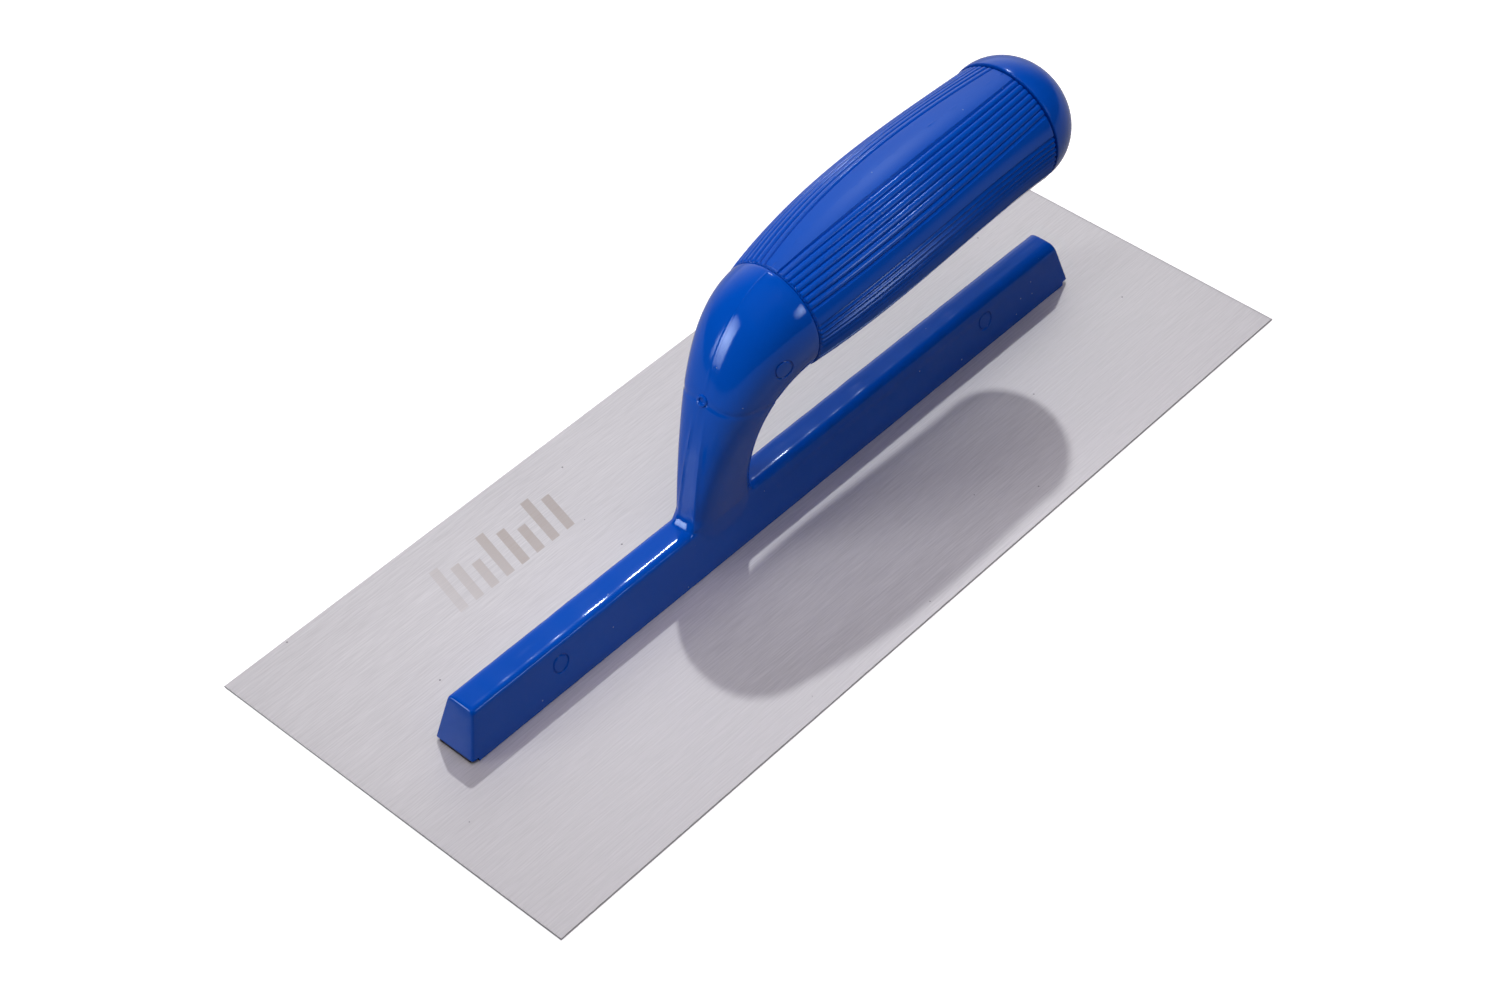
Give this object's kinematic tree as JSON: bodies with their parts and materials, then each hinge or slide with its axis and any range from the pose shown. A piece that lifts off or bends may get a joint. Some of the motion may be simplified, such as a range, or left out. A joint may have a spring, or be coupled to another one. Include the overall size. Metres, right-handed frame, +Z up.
{
  "type": "steel finishing trowel",
  "caption": "Rectangular steel finishing trowel with a full-length backing bar and an open-ended moulded plastic handle with a ribbed grip and domed end cap.",
  "frame": {"origin": "under the middle of the blade, on its flat working face", "axes": "+X from the toe, where the neck stands, to the heel, along the blade's length; +Y across the blade; +Z up from the working face to the grip"},
  "size_m": [0.28, 0.118, 0.0862],
  "materials": {
    "blade_steel": "fine lengthwise brushed grain",
    "strip_steel": "blackened steel, satin",
    "rivet_steel": "ground flush with the blade",
    "handle_plastic": "glossy royal blue moulding",
    "grip_plastic": "glossy royal blue moulding with reeds and ribs",
    "cap_plastic": "glossy royal blue moulding",
    "zinc_steel": "bright zinc plate"
  },
  "bodies": {
    "root": {"blade": "blade_steel", "backing_strip": "strip_steel", "mount_rivets": "rivet_steel", "handle_mount": "handle_plastic", "grip_sleeve": "grip_plastic", "end_cap": "cap_plastic", "tang_screw": "zinc_steel", "tang_washer": "zinc_steel"}
  },
  "joints": []
}
